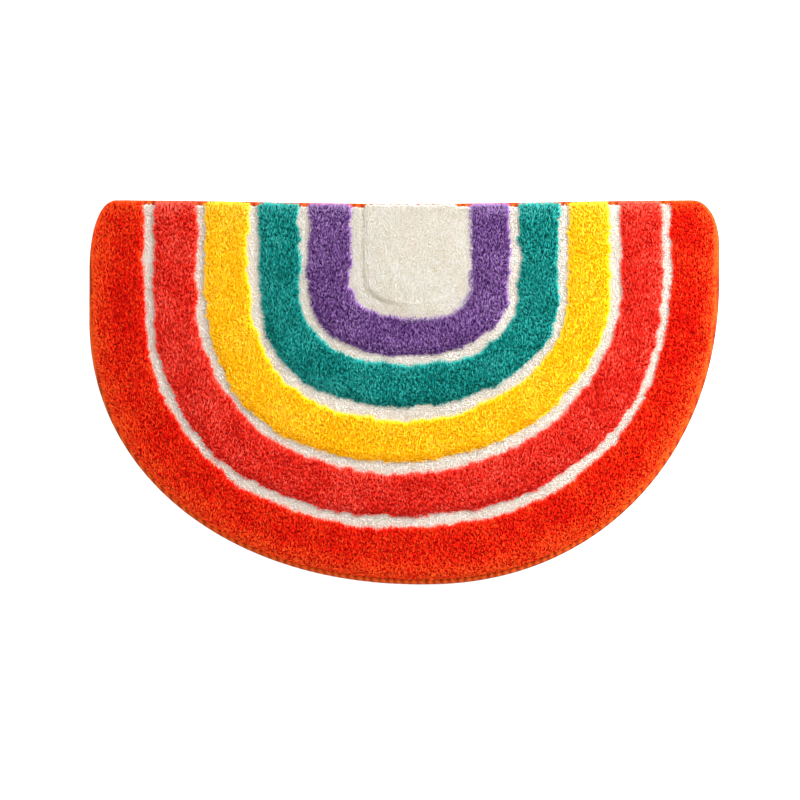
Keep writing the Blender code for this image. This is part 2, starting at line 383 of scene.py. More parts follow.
@dataclass(frozen=True)
class SergingYarn:
    """Two-ply acrylic overlock yarn: soft, with its ply showing as fine slanted ribs.

    Low down, where the stitches turn under the edge, shade is painted into its colour as a deep
    brown.
    """

    name: str = "serging_yarn_orange"
    # painted shade: the deep brown low on the stitches, where they turn under the edge
    painted_shade: str = "#561803"
    deep: str = "#842806"
    light: str = "#AE450D"
    painted_shade_at: float = 0.05
    deep_at: float = 0.3
    light_at: float = 0.7
    fully_shaded_height: float = 2.0 * MM
    unshaded_height: float = 5.0 * MM
    ply_spacing: float = 9.774 * MM  # drawn coarser than the real 1.1 mm
    ply_slant: float = 0.7
    ply_unevenness: float = 1.5
    ply_relief: float = 0.3 * MM
    fleck_size: float = 6.0 * MM
    fleck_share: float = 0.5
    bump: float = 0.5
    roughness: float = 0.8
    specular: float = 0.1

    def make(self) -> bpy.types.Material:
        """Builds the yarn's material."""
        values = {"Roughness": self.roughness, "Specular IOR Level": self.specular}
        material, shader = new_material(self.name, values)
        tree = material.node_tree
        place = add_node(tree, "ShaderNodeTexCoord").outputs["Object"]
        turn = {"Vector": place, "Rotation": (0.0, 0.0, self.ply_slant)}
        ribs = {
            "Vector": add_node(tree, "ShaderNodeMapping", inputs=turn),
            "Scale": math.tau / (DIAGONAL_TURN * self.ply_spacing),
            "Distortion": self.ply_unevenness,
            "Detail": 1.0,
        }
        bands = {"wave_type": "BANDS", "bands_direction": "DIAGONAL"}
        ply = add_node(tree, "ShaderNodeTexWave", bands, ribs).outputs["Fac"]
        spots = {"Vector": place, "Scale": 1 / self.fleck_size, "Detail": 3.0}
        flecks = add_node(tree, "ShaderNodeTexNoise", inputs=spots).outputs["Fac"]
        both = {"Factor": self.fleck_share, "A": ply, "B": flecks}
        mixed = add_node(tree, "ShaderNodeMix", {"data_type": "FLOAT"}, both)
        # towards the bottom of the edge the colour falls to the painted shade
        height = add_node(tree, "ShaderNodeSeparateXYZ", inputs={"Vector": place}).outputs["Z"]
        climb = {"Value": height, "From Min": self.fully_shaded_height, "From Max": self.unshaded_height}
        unshaded = add_node(tree, "ShaderNodeMapRange", inputs=climb)
        shade = add_node(tree, "ShaderNodeMath", {"operation": "MULTIPLY"}, {0: mixed, 1: unshaded})
        stops = {self.painted_shade_at: self.painted_shade, self.deep_at: self.deep, self.light_at: self.light}
        ramp = add_node(tree, "ShaderNodeValToRGB", inputs={"Fac": shade}, stops=stops)
        relief = {"Height": ply, "Strength": self.bump, "Distance": self.ply_relief}
        bump = add_node(tree, "ShaderNodeBump", inputs=relief)
        tree.links.new(result(ramp), shader.inputs["Base Color"])
        tree.links.new(result(bump), shader.inputs["Normal"])
        return material


@dataclass(frozen=True)
class WovenBacking:
    """Plain-woven jute-like backing cloth under a thin latex coat: an even small check."""

    name: str = "woven_backing_cloth"
    thread: str = "#D9CDB4"
    gap: str = "#A99A7C"
    gap_at: float = 0.0
    thread_at: float = 0.5
    thread_spacing: float = 15.08 * MM  # drawn coarser than the real 2.4 mm
    thread_relief: float = 0.4 * MM
    unevenness: float = 0.4
    bump: float = 0.6
    roughness: float = 0.85

    def make(self) -> bpy.types.Material:
        """Builds the backing's material."""
        material, shader = new_material(self.name, {"Roughness": self.roughness})
        tree = material.node_tree
        threads = {
            "Vector": add_node(tree, "ShaderNodeTexCoord").outputs["Object"],
            "Scale": math.tau / (WAVE_TURN * self.thread_spacing),
            "Distortion": self.unevenness,
        }
        warp, weft = (
            add_node(tree, "ShaderNodeTexWave", {"bands_direction": way}, threads).outputs["Fac"]
            for way in ("X", "Y")
        )
        weave = add_node(tree, "ShaderNodeMath", {"operation": "MULTIPLY"}, {0: warp, 1: weft})
        stops = {self.gap_at: self.gap, self.thread_at: self.thread}
        ramp = add_node(tree, "ShaderNodeValToRGB", inputs={"Fac": weave}, stops=stops)
        relief = {"Height": weave, "Strength": self.bump, "Distance": self.thread_relief}
        bump = add_node(tree, "ShaderNodeBump", inputs=relief)
        tree.links.new(result(ramp), shader.inputs["Base Color"])
        tree.links.new(result(bump), shader.inputs["Normal"])
        return material


@dataclass(frozen=True)
class Tufting:
    """How one kind of pile is tufted: sizes of its tufts, in metres, and how they lie."""

    spacing: float = 1.25 * MM
    length: float = 8.0 * MM
    width: float = 2.2 * MM
    lean: float = 0.50
    scatter: float = 0.32
    nap: float = 0.25
    clump: float = 3.6 * MM
    curl: float = 0.10
    bundle: float = 2.8 * MM
    peak: float = 0.10
    mottle: float = 42.0 * MM
    seed: int = 1


class PieceTree:
    """Geometry nodes that make what repeats in a piece, with named inputs for its sizes."""

    NAME = ""
    START = ""
    SIZES: tuple[str, ...] = ()
    COUNTS: tuple[str, ...] = ()

    def __init__(self) -> None:
        """Builds the tree once, with its named inputs."""
        self.tree = bpy.data.node_groups.new(self.NAME, "GeometryNodeTree")
        kinds = {self.START: "Geometry"} | dict.fromkeys(self.SIZES, "Float")
        kinds |= dict.fromkeys(self.COUNTS, "Int") | {"Yarn": "Material"}
        for name, kind in kinds.items():
            self.tree.interface.new_socket(name, in_out="INPUT", socket_type=f"NodeSocket{kind}")
        self.tree.interface.new_socket("Piece", in_out="OUTPUT", socket_type="NodeSocketGeometry")
        self.given = self.add("NodeGroupInput").outputs
        real = self.add("GeometryNodeRealizeInstances", inputs={"Geometry": self.repeated()})
        dress = {"Geometry": self.finished(real), "Material": self.given["Yarn"]}
        dressed = self.add("GeometryNodeSetMaterial", inputs=dress)
        self.add("NodeGroupOutput", inputs={"Piece": dressed})

    def add(
        self,
        kind: str,
        settings: dict[str, object] | None = None,
        inputs: dict[str | int, object] | None = None,
    ) -> bpy.types.Node:
        """Adds a node to the tree."""
        return add_node(self.tree, kind, settings, inputs)

    def math(self, operation: str, *values: object) -> bpy.types.Node:
        """A number worked out from one to three others."""
        return self.add("ShaderNodeMath", {"operation": operation}, dict(enumerate(values)))

    def xyz(self, vector: object) -> bpy.types.bpy_prop_collection:
        """A vector's three parts."""
        return self.add("ShaderNodeSeparateXYZ", inputs={"Vector": vector}).outputs

    def repeated(self) -> bpy.types.Node:
        """What repeats, set in its places as instances."""
        raise NotImplementedError

    def finished(self, real: bpy.types.Node) -> bpy.types.Node:
        """The realized instances with their last touch."""
        return self.add("GeometryNodeSetShadeSmooth", inputs={"Geometry": real})

    def grown(
        self, name: str, start: bpy.types.ID, sizes: object, yarn: bpy.types.Material
    ) -> bpy.types.Object:
        """Runs the tree on a mesh or a curve.

        Args:
            name: The finished piece's name.
            start: The mesh or curve that the tree starts from.
            sizes: What holds a value for each of the tree's inputs, under its name.
            yarn: The piece's material.

        Returns:
            The finished piece, as a plain mesh object.
        """
        carrier = bpy.data.objects.new(f"{name}_start", start)
        bpy.context.scene.collection.objects.link(carrier)
        modifier = carrier.modifiers.new(self.NAME, "NODES")
        modifier.node_group = self.tree
        inputs = (*self.SIZES, *self.COUNTS)
        values = {size: getattr(sizes, size.lower().replace(" ", "_")) for size in inputs}
        values["Yarn"] = yarn
        for item in self.tree.interface.items_tree:
            if item.name in values:
                modifier[item.identifier] = values[item.name]
        evaluated = carrier.evaluated_get(bpy.context.evaluated_depsgraph_get())
        mesh = bpy.data.meshes.new_from_object(evaluated)
        mesh.name = name
        carrier.modifiers.clear()
        bpy.data.objects.remove(carrier, do_unlink=True)
        piece = bpy.data.objects.new(name, mesh)
        bpy.context.scene.collection.objects.link(piece)
        return piece


class TuftingTree(PieceTree):
    """The geometry nodes that plant tufts on the tufted faces of a ground mesh."""

    NAME = "cut_pile_tufting"
    START = "Ground"
    SIZES = (
        "Spacing", "Length", "Width", "Lean", "Scatter", "Nap", "Clump", "Curl", "Bundle", "Peak",
        "Mottle",
    )
    COUNTS = ("Seed",)
    SIDES = 3
    FOOT = 0.425  # a tuft's radius at its foot, as a share of its width
    PACKING = 0.80  # least distance between tufts, as a share of their mean spacing
    TRIES = 3.0  # tufts tried for each that finds room
    UPRIGHT = 0.6  # how strongly tufts stand out of the ground
    PLUMB = 0.9  # how strongly tufts stand straight up
    SWAY = (0.50, 1.1, 0.4)  # clumps lean more along the rows of tufting than across them
    STRAY = (1.0, 1.0, 0.3)  # how far single tufts stray, least in height
    WIDTHS = (0.8, 1.2)  # the thinnest and thickest tuft, as shares of the width
    LENGTHS = (0.90, 1.08)  # the shortest and longest tuft, as shares of the length
    SECTION = (0.85, 1.18)  # a tuft is thinner across its row than along it
    TWIST = (-0.20, 0.75)  # how far tufts are turned out of their row, in radians
    # the rest of the shades is left for the painted highlight along the rim and straight edge
    SHADE_SPREAD = 0.70  # the share of the shades that ordinary tufts take; the rest is accent
    BUNDLE_SHARE = 0.6  # how much of a tuft's shade it has in common with its bundle
    MOTTLE_SHARE = 0.18  # how much a tuft's shade follows the rug's slow mottling
    GRAIN = (1.15, 0.95, 1.0)  # bundles are narrower along the straight edge than across it
    SKEW = 0.37  # how far a noise is moved in Y for each unit that it is moved in X
    STRETCH = 4.0  # brings a noise, which runs from about 0.25 to 0.75, to -1 to 1
    CLUMP_AT, MOTTLE_AT, BUNDLE_AT = 0.0, 3.1, 7.7  # apart, so that no two noises run together
    MARGIN = 0.02  # the colour map's free edge
    SPREAD = 0.01  # how far a tuft's sides lie apart on the colour map

    def vector_math(self, operation: str, vector: object, other: object) -> bpy.types.Node:
        """A vector worked out from another and a second one, or a number that scales it."""
        second = "Scale" if operation == "SCALE" else 1
        return self.add("ShaderNodeVectorMath", {"operation": operation}, {0: vector, second: other})

    def stored(self, name: str, kind: str = "FLOAT") -> bpy.types.Node:
        """An attribute that the geometry carries."""
        return self.add("GeometryNodeInputNamedAttribute", {"data_type": kind}, {"Name": name})

    def carried(
        self,
        geometry: bpy.types.Node,
        name: str,
        value: object,
        kind: str = "FLOAT",
        domain: str = "POINT",
    ) -> bpy.types.Node:
        """The geometry, carrying a value under a name."""
        settings = {"data_type": kind, "domain": domain}
        inputs = {"Geometry": geometry, "Name": name, "Value": value}
        return self.add("GeometryNodeStoreNamedAttribute", settings, inputs)

    def random(self, low: object, high: object, seed_shift: int) -> bpy.types.Node:
        """A random value for each tuft, a number or a vector as its limits are."""
        kind = "FLOAT" if isinstance(low, float) else "FLOAT_VECTOR"
        seed = self.math("ADD", self.given["Seed"], seed_shift)
        limits = {"Min": low, "Max": high, "Seed": seed}
        return self.add("FunctionNodeRandomValue", {"data_type": kind}, limits)

    def drift(
        self, size: object, detail: float, offset: float, grain: tuple[float, ...] = (1.0, 1.0, 1.0)
    ) -> bpy.types.Node:
        """A soft random vector that changes over a given distance, from about -1 to 1."""
        scaled = self.vector_math("MULTIPLY", self.add("GeometryNodeInputPosition"), grain)
        moved = self.vector_math("ADD", scaled, (offset, offset * self.SKEW, 0.0))
        clouds = {"Vector": moved, "Scale": self.math("DIVIDE", 1.0, size), "Detail": detail}
        colour = self.add("ShaderNodeTexNoise", inputs=clouds).outputs["Color"]
        centred = self.vector_math("SUBTRACT", colour, (0.5, 0.5, 0.5))
        return self.vector_math("SCALE", centred, self.STRETCH)

    def tuft(self) -> bpy.types.Node:
        """One tuft a unit long and a unit wide: a slim cone, bent over at its end."""
        sizes = {"Vertices": self.SIDES, "Side Segments": 1, "Depth": 1.0}
        sizes |= {"Radius Top": 0.0, "Radius Bottom": self.FOOT}
        cone = self.add("GeometryNodeMeshCone", {"fill_type": "NGON"}, sizes)
        place = self.xyz(self.add("GeometryNodeInputPosition"))
        height = place["Z"]
        bend = self.math("MULTIPLY", self.math("MULTIPLY", height, height), self.given["Curl"])
        over = self.add("ShaderNodeCombineXYZ", inputs={"Y": bend})
        bent = self.add("GeometryNodeSetPosition", inputs={"Geometry": cone, "Offset": over})
        tipped = self.carried(bent, "tip", height)
        sided = self.carried(tipped, "side", self.math("MULTIPLY", place["Y"], 2.0))
        return self.add("GeometryNodeSetShadeSmooth", inputs={"Geometry": sided})

    def points(self) -> bpy.types.Node:
        """Where the tufts are planted."""
        spacing = self.given["Spacing"]
        inputs = {
            "Mesh": self.given["Ground"],
            "Selection": self.stored("tufted", "BOOLEAN"),
            "Distance Min": self.math("MULTIPLY", spacing, self.PACKING),
            "Density Max": self.math("DIVIDE", self.TRIES, self.math("MULTIPLY", spacing, spacing)),
            "Seed": self.given["Seed"],
        }
        settings = {"distribute_method": "POISSON"}
        return self.add("GeometryNodeDistributePointsOnFaces", settings, inputs)

    def turned(self, normal: bpy.types.NodeSocket) -> bpy.types.Node:
        """How each tuft stands: out of the ground and up, then flared, swayed and strayed."""
        nap = self.add("ShaderNodeCombineXYZ", inputs={"Y": self.given["Nap"], "Z": self.PLUMB})
        direction = self.vector_math("ADD", self.vector_math("SCALE", normal, self.UPRIGHT), nap)
        clumps = self.drift(self.given["Clump"], 1.0, self.CLUMP_AT)
        sway = self.vector_math("MULTIPLY", clumps, self.SWAY)
        stray = self.random(tuple(-reach for reach in self.STRAY), self.STRAY, 1)
        pushes = (
            (self.stored("flare", "FLOAT_VECTOR"), 1.0),
            (sway, self.given["Lean"]),
            (stray, self.given["Scatter"]),
        )
        for push, strength in pushes:
            direction = self.vector_math("ADD", direction, self.vector_math("SCALE", push, strength))
        aligned = self.add("FunctionNodeAlignRotationToVector", {"axis": "Z"}, {"Vector": direction})
        twist = {"Axis": (0.0, 0.0, 1.0), "Angle": self.random(*self.TWIST, 2)}
        spin = self.add("FunctionNodeAxisAngleToRotation", inputs=twist)
        both = {"Rotation": aligned, "Rotate By": spin}
        return self.add("FunctionNodeRotateRotation", {"rotation_space": "LOCAL"}, both)

    def shade(self, bundle: bpy.types.NodeSocket) -> bpy.types.Node:
        """Each tuft's shade, in part its own, its bundle's, the mottling's and the painted light's.
        """
        own = self.math("MULTIPLY", self.random(0.0, 1.0, 3), 1 - self.BUNDLE_SHARE)
        level = self.math("MULTIPLY_ADD", bundle, 0.5, 0.5)
        mixed = self.math("ADD", own, self.math("MULTIPLY", level, self.BUNDLE_SHARE))
        mottle = self.xyz(self.drift(self.given["Mottle"], 2.0, self.MOTTLE_AT))["X"]
        patchy = self.math("ADD", mixed, self.math("MULTIPLY", mottle, self.MOTTLE_SHARE))
        plain = self.math("MULTIPLY", patchy, self.SHADE_SPREAD)
        # painted highlight along the rim and straight edge, less painted shade along the crease
        accent = self.math("MULTIPLY", self.stored("painted_light"), 1 - self.SHADE_SPREAD)
        warmed = self.math("ADD", plain, accent)
        return self.math("MINIMUM", self.math("MAXIMUM", warmed, 0.0), 1.0)

    def size(self, bundle: bpy.types.NodeSocket) -> bpy.types.Node:
        """Each tuft's size; those of a bundle are tall or short together."""
        thick = self.math("MULTIPLY", self.given["Width"], self.random(*self.WIDTHS, 4))
        uneven = self.math("MULTIPLY", self.given["Length"], self.random(*self.LENGTHS, 5))
        peak = self.math("MULTIPLY_ADD", bundle, self.given["Peak"], 1.0)
        across, along = (self.math("MULTIPLY", thick, share) for share in self.SECTION)
        parts = {"X": across, "Y": along, "Z": self.math("MULTIPLY", uneven, peak)}
        return self.add("ShaderNodeCombineXYZ", inputs=parts)

    def repeated(self) -> bpy.types.Node:
        """The tufts, planted, turned and coloured, with their ground."""
        spread = self.points()
        bundles = self.drift(self.given["Bundle"], 0.0, self.BUNDLE_AT, self.GRAIN)
        bundle = self.xyz(bundles)["X"]
        planting = {
            "Points": self.carried(spread, "shade", self.shade(bundle)),
            "Instance": self.tuft(),
            "Rotation": self.turned(spread.outputs["Normal"]),
            "Scale": self.size(bundle),
        }
        planted = self.add("GeometryNodeInstanceOnPoints", inputs=planting)
        joined = self.add("GeometryNodeJoinGeometry")
        for part in (result(planted), self.given["Ground"]):
            self.tree.links.new(part, joined.inputs["Geometry"])
        return joined

    def finished(self, real: bpy.types.Node) -> bpy.types.Node:
        """Lays each face on a map with the shades along U and root to tip along V.

        The yarn's colour depends on these two alone, so this map holds all of it.
        """
        side = self.stored("side")
        asides = (side, self.math("MULTIPLY", side, side))
        spans = (("shade", 1 - 2 * self.MARGIN), ("tip", 1 - 3 * self.MARGIN))
        across, up = (
            self.math(
                "ADD",
                self.math("MULTIPLY_ADD", self.stored(name), span, self.MARGIN),
                self.math("MULTIPLY", aside, self.SPREAD),
            )
            for (name, span), aside in zip(spans, asides)
        )
        spot = self.add("ShaderNodeCombineXYZ", inputs={"X": across, "Y": up})
        return self.carried(real, "OFBake", spot, "FLOAT2", "CORNER")


def finish_piece(piece: bpy.types.Object, node: Node) -> bpy.types.Object:
    """Ties a finished piece to the rug's body and hides the solid it stands for."""
    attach(piece, BODY)
    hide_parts(node.value)
    LOG.info("%s: %d faces", piece.name, len(piece.data.polygons))
    return piece


GROUND_VALUES = ("shade", "tip", "side", "painted_light")  # what each vertex of a ground carries


@dataclass(frozen=True)
class Crease:
    """A parted line along one side of a strip, open on the rug's left and closed on its right; shade
    is painted along it.
    """

    at: Side
    closed_top: float
    closed_foot: float
    floor: float = 5.4 * MM
    # how strongly shade is painted into the yarn along the crease
    shade: float = 1.2
    shade_reach: float = 5.0 * MM
    stand_back: float = 1.6 * MM
    open_until: float = -32.0 * MM
    closed_from: float = 16.0 * MM

    def openness(self, x: float) -> float:
        """How open the crease is at x, from 1 down to 0."""
        share = (self.closed_from - x) / (self.closed_from - self.open_until)
        share = min(max(share, 0.0), 1.0)
        return share * share * (3 - 2 * share)

    def shading(self, x: float, distance: float) -> float:
        """How much painted shade deepens the yarn's colour at x, at a distance from the crease."""
        return self.shade * self.openness(x) * max(1 - abs(distance) / self.shade_reach, 0.0)


@dataclass
class PileStrip:
    """One strip of pile between two arches: its ground, which the tufts cover, and its yarn.

    Insets are measured from the arches into the strip. The ground rises from its foot at each
    edge to its top, and tufts near an edge flare out over it.
    """

    name: str
    outer: str
    inner: str
    yarn: CutPileYarn
    tufting: Tufting
    top: float
    outer_foot: float
    inner_foot: float
    outer_inset: float
    inner_inset: float
    outer_flare: float = 0.0
    inner_flare: float = 0.0
    straight_flare: float = -0.7
    straight_inset: float = 1.3 * MM
    straight_ragged: float = 1.0 * MM
    straight_ragged_scale: float = 5.0 * MM
    straight_foot: float = 4.0 * MM
    shoulder: float = 5.5 * MM
    underlap: float = 0.0
    row_gap: float = 7.0 * MM
    flare_reach: float = 8.0 * MM
    # painted highlight: how far in from the rim, and how strongly along the straight edge, yarn is
    # turned lighter
    painted_rim_reach: float = 0.0
    painted_edge_light: float = 0.0
    hem: float = 0.0
    hem_rows: int = 4
    ragged: float = 0.0
    ragged_scale: float = 13.0 * MM
    fine_share: float = 0.5  # of the raggedness, how much a finer noise adds
    fine_steps: float = 2.3  # how many times finer that noise is
    calm_scales: float = 3.0  # how many ragged scales in from its edge a pad lies calm
    furrow: float = 0.0
    furrow_scale: tuple[float, float] = (11.0 * MM, 120.0 * MM)
    furrow_width: float = 0.14
    crease: Crease | None = None
    bottom: float = 2.3 * MM
    shoulder_steps: tuple[float, ...] = (0.0, 0.12, 0.32, 0.62)
    closes_in_middle: bool = False
    rise_power: float = 2.6
    near_power: float = 1.5
    ground_shade: float = 0.25
    ground_tip: float = 0.01
    lap: float = 1.0 * MM
    look_out: float = 0.05  # a share of the width, over which the way outwards is read off
    weld: float = 0.02 * MM

    def rise(self, distance: float) -> float:
        """The share of its full height that the ground reaches at a distance from its edge."""
        return 1 - (1 - min(max(distance / self.shoulder, 0.0), 1.0)) ** self.rise_power

    def near(self, distance: float) -> float:
        """How much a spot at a distance from an edge still belongs to that edge, 1 down to 0."""
        return max(1 - max(distance, 0.0) / self.flare_reach, 0.0) ** self.near_power

    def width(self) -> float:
        """The strip's width between its two arches, at the straight edge's left."""
        return ARCHES[self.outer].left - ARCHES[self.inner].left

    def distances(self) -> list[float]:
        """Distances of the ground's rows from the outer arch."""
        first, last = self.outer_inset, self.width() - self.inner_inset
        if self.hem:
            inside = last - first - 2 * self.hem
            rows = [first + self.hem + inside * i / self.hem_rows for i in range(self.hem_rows + 1)]
            return [first, *rows, last]
        steps = [self.shoulder * step for step in self.shoulder_steps]
        low = first + self.shoulder
        high = last if self.closes_in_middle else last - self.shoulder
        count = max(2, round((high - low) / self.row_gap))
        flat = [low + (high - low) * i / count for i in range(count + 1)]
        far_end = [] if self.closes_in_middle else [last - step for step in reversed(steps)]
        return [first + step for step in steps] + flat + far_end

    def row(self, plan: RugPlan, distance: float) -> list[tuple[Vector, Vector]]:
        """One row of the ground.

        Args:
            plan: The rug's plan.
            distance: How far the row lies from the outer arch.

        Returns:
            For each point, its place and the way that tufts flare there.
        """
        outer = ARCHES[self.outer]
        inner = ARCHES[self.inner]
        share = distance / self.width()
        here = plan.arch_points(outer.towards(inner, share))
        out = plan.arch_points(outer.towards(inner, share - self.look_out))
        from_outer = distance - self.outer_inset
        from_inner = math.inf
        if not self.closes_in_middle:
            from_inner = self.width() - self.inner_inset - distance
        flare = self.outer_flare * self.near(from_outer) - self.inner_flare * self.near(from_inner)
        made = []
        for point, beyond, edge in zip(here, out, plan.from_straight_edge(len(here))):
            away = beyond - point
            away = away.normalized() if away.length > TINY else Vector((0.0, 0.0))
            place = plan.placed(point) + away * self.stray(point, from_outer, from_inner)
            inset = self.inset(place.x) * max(1 - edge / plan.edge_steps[-1], 0.0)
            level = self.level(point, from_outer, from_inner) - self.furrow_depth(place)
            height = self.straight_foot + (level - self.straight_foot) * self.rise(edge)
            lean = away * flare + Vector((0.0, self.straight_flare * self.near(edge)))
            made.append((Vector((place.x, place.y - inset, height)), lean.to_3d()))
        return made

    def inset(self, x: float) -> float:
        """How far the ground stays back from the straight edge at x."""
        stray = noise.noise(Vector((x, 0.0, 0.0)) / self.straight_ragged_scale)
        return self.straight_inset + self.straight_ragged * stray

    def level(self, point: Vector, from_outer: float, from_inner: float) -> float:
        """The ground's height here, but for its fall towards the straight edge."""
        feet = {Side.OUTER: self.outer_foot, Side.INNER: self.inner_foot}
        top = self.top
        openness = 1.0
        if self.crease:
            openness = self.crease.openness(point.x)
            top += (self.crease.closed_top - top) * (1 - openness)
            foot = self.crease.closed_foot
            feet[self.crease.at] = foot + (self.crease.floor - foot) * openness
        outer_level = feet[Side.OUTER] + (top - feet[Side.OUTER]) * self.rise(from_outer)
        inner_rise = self.rise(from_inner - self.underlap * openness)
        inner_level = feet[Side.INNER] + (top - feet[Side.INNER]) * inner_rise
        return min(outer_level, inner_level)

    def stray(self, point: Vector, from_outer: float, from_inner: float) -> float:
        """How far the ground's cut edges stray outwards here; the rug's own rim stays true."""
        spot = Vector((point.x, point.y, self.tufting.seed)) / self.ragged_scale
        fine = noise.noise(self.fine_steps * spot)
        ragged = self.ragged * (noise.noise(spot) + self.fine_share * fine)
        if self.outer == "rim":
            ragged *= min(from_outer / self.ragged_scale, 1.0)
        if self.closes_in_middle:
            ragged *= max(1 - from_outer / (self.calm_scales * self.ragged_scale), 0.0)
        if not self.crease:
            return ragged
        openness = self.crease.openness(point.x)
        ragged *= openness
        back = self.crease.stand_back * openness
        if self.crease.at is Side.OUTER:
            return ragged - back * self.near(from_outer)
        back += (self.underlap - self.lap) * (1 - openness)
        return ragged + back * self.near(from_inner)

    def furrow_depth(self, place: Vector) -> float:
        """How deep the pile's soft creases, which run across the straight edge, are here."""
        if not self.furrow:
            return 0.0
        across, along = self.furrow_scale
        field = abs(noise.noise(Vector((place.x / across, place.y / along, 0.0))))
        return self.furrow * max(1 - field / self.furrow_width, 0.0) ** self.near_power

    def painted_light(self, distance: float, edge: float, reach: float) -> float:
        """How far painted highlight turns yarn to its accent colour, along the rug's rim and
        straight edge.
        """
        at_edge = self.painted_edge_light * max(1 - edge / reach, 0.0)
        if not self.painted_rim_reach:
            return at_edge
        return max(1 - (distance - self.outer_inset) / self.painted_rim_reach, at_edge)

    def from_crease(self, distance: float) -> float:
        """How far a row lies from the edge that the crease runs along."""
        if self.crease.at is Side.OUTER:
            return distance - self.outer_inset
        return self.width() - self.inner_inset - self.underlap - distance

    def ground(self, plan: RugPlan) -> bpy.types.Mesh:
        """The strip's ground as a closed slab, with its tufted faces and flare marked."""
        distances = self.distances()
        rows = [self.row(plan, distance) for distance in distances]
        along, across = len(rows[0]), len(rows)
        edges = plan.from_straight_edge(along)
        bm = bmesh.new()
        flare = bm.verts.layers.float_vector.new("flare")
        floats = {name: bm.verts.layers.float.new(name) for name in GROUND_VALUES}
        tufted = bm.faces.layers.bool.new("tufted")
        grid = []
        for j, row in enumerate(rows):
            line = []
            for i, (place, lean) in enumerate(row):
                vertex = bm.verts.new(place)
                vertex[flare] = lean
                vertex[floats["shade"]] = self.ground_shade
                vertex[floats["tip"]] = self.ground_tip * (j % 2)
                vertex[floats["side"]] = 2 * (i % 2) - 1
                painted_light = self.painted_light(distances[j], edges[i], plan.edge_steps[-1])
                # painted shade along the crease
                if self.crease:
                    painted_light -= self.crease.shading(place.x, self.from_crease(distances[j]))
                vertex[floats["painted_light"]] = painted_light
                line.append(vertex)
            grid.append(line)
        for j in range(across - 1):
            in_hem = self.hem and j in (0, across - 2)
            for i in range(along - 1):
                corners = (grid[j][i], grid[j][i + 1], grid[j + 1][i + 1], grid[j + 1][i])
                bm.faces.new(corners)[tufted] = not in_hem
        if self.closes_in_middle:
            bmesh.ops.remove_doubles(bm, verts=grid[-1], dist=self.weld)
        self.close_below(bm, tufted)
        mesh = bpy.data.meshes.new(f"{self.name}_ground")
        bm.to_mesh(mesh)
        bm.free()
        mesh.shade_smooth()
        return mesh

    def close_below(self, bm: bmesh.types.BMesh, tufted: bmesh.types.BMLayerItem) -> None:
        """Closes the ground with walls down to the backing and a flat underside."""
        rim = [edge for edge in bm.edges if edge.is_boundary]
        for item in bmesh.ops.extrude_edge_only(bm, edges=rim)["geom"]:
            if isinstance(item, bmesh.types.BMVert):
                item.co.z = self.bottom
            if isinstance(item, bmesh.types.BMFace):
                item[tufted] = False
        foot = [edge for edge in bm.edges if edge.is_boundary]
        for face in bmesh.ops.contextual_create(bm, geom=foot)["faces"]:
            face[tufted] = False
        bmesh.ops.recalc_face_normals(bm, faces=bm.faces)

    def build(self, plan: RugPlan, tree: TuftingTree) -> bpy.types.Object:
        """Builds the strip and grows its pile."""
        piece = tree.grown(self.name, self.ground(plan), self.tufting, self.yarn.make())
        return finish_piece(piece, Node.TUFTED_BODY)


# root, middle, tip and accent: the roots' depth is partly painted shade, the accent is partly
# painted highlight
SCARLET = CutPileYarn("scarlet_yarn", "#BE0000", "#E40E02", "#F44A18", "#EE6626")
CORAL = CutPileYarn("coral_yarn", "#BE0404", "#E82816", "#F66450", "#F27A6A")
YELLOW = CutPileYarn("yellow_yarn", "#F8B400", "#FCC604", "#FFD838", "#FFDC58")
TEAL = CutPileYarn("teal_yarn", "#00504A", "#068880", "#38B8B0", "#54B8B0")
VIOLET = CutPileYarn("violet_yarn", "#3A1C50", "#72488A", "#A480B8", "#B094C0")
# its brownish root shows only deep in the pile and in the crease, as painted shade
CREAM = CutPileYarn(
    "cream_yarn", "#CFBC9A", "#E2DED4", "#E8E6E1", "#ECEBE8", root_at=0.08, middle_at=0.34
)
# the same cream yarn as CREAM, with a greyer root as painted shade for the low channels between the
# bands
LOW_CREAM = CutPileYarn("low_cream_yarn", "#D2C7B8", "#E4E0D9", "#EFECE7", "#F2EFEB")


